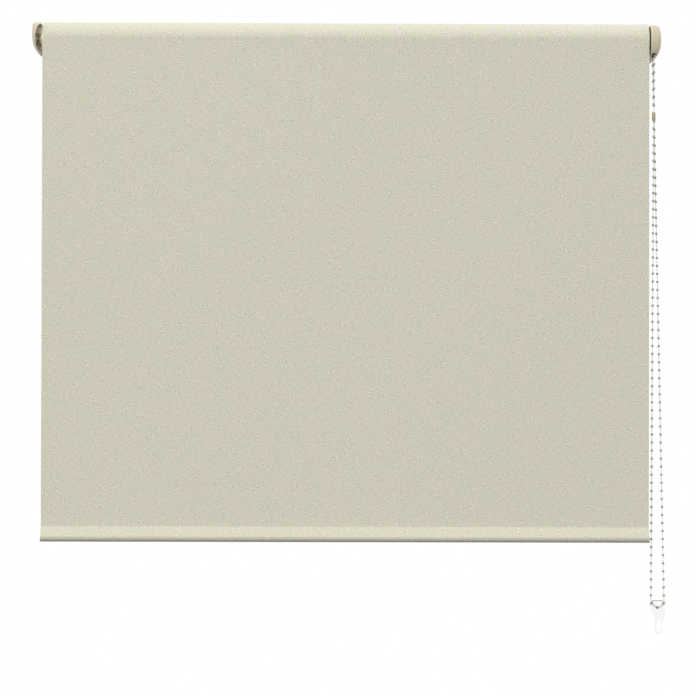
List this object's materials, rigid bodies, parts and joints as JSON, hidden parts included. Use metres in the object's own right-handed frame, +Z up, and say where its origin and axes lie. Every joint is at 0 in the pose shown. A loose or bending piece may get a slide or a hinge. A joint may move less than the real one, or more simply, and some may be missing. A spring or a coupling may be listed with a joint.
{
  "type": "screen roller blind",
  "caption": "Roller blind of cream screen fabric on a 43 mm tube, with a bead-chain clutch at the right, a sprung idle pin at the left, domed end covers and a drop-shaped bar in the hem.",
  "frame": {"origin": "centre of the four wall-screw holes of the two brackets, on the wall face of their flanges", "axes": "+X along the tube to the control end, +Y into the wall, +Z up"},
  "size_m": [0.9437, 0.07, 0.9084],
  "materials": {
    "screen_fabric": "matte",
    "cream_plastic": "satin",
    "white_plastic": "satin",
    "dark_plastic": "satin",
    "clear_plastic": "gloss",
    "chain_plastic": "satin",
    "tan_plastic": "satin",
    "aluminium": "satin",
    "zinc_steel": "satin",
    "spring_steel": "satin",
    "tape": "matte"
  },
  "bodies": {
    "frame": {"control_bracket": "zinc_steel", "idle_bracket": "zinc_steel", "idle_bush": "cream_plastic", "clutch_core": "white_plastic", "core_washer": "zinc_steel", "core_screw": "zinc_steel", "chain_guard": "cream_plastic", "control_cover": "cream_plastic", "idle_cover": "cream_plastic", "bead_chain": "chain_plastic", "chain_connector": "tan_plastic", "chain_holder": "clear_plastic", "fabric_panel": "screen_fabric"},
    "roller": {"roller_tube": "aluminium", "fixing_tape": "tape", "fabric_roll": "screen_fabric", "drive_hub": "dark_plastic", "sprocket": "white_plastic", "brake_springs": "spring_steel", "idle_plug": "cream_plastic", "plug_cap": "white_plastic", "pin_spring": "spring_steel"},
    "pin": {"idle_pin": "zinc_steel"},
    "bar": {"hem_pocket": "screen_fabric", "bottom_bar": "aluminium", "bar_cap_left": "white_plastic", "bar_cap_right": "white_plastic"}
  },
  "joints": [
    {"name": "roller_turn", "type": "hinge", "parent": "frame", "child": "roller", "pos_m": [0, -0.038, 0], "axis": [-1, 0, 0], "range_deg": [0, 1650], "deforming": ["bead_chain"]},
    {"name": "bar_lift", "type": "slide", "parent": "frame", "child": "bar", "axis": [0, 0, 1], "range_m": [0, 0.701], "deforming": ["fabric_panel"]},
    {"name": "pin_push", "type": "slide", "parent": "roller", "child": "pin", "axis": [1, 0, 0], "range_m": [0, 0.007], "stiffness_N_per_m": 1200, "springref_m": -0.004, "deforming": ["pin_spring"]}
  ],
  "couplings": [
    {"joint": "bar_lift", "follows": "roller_turn", "m_per_rad": 0.024275}
  ]
}
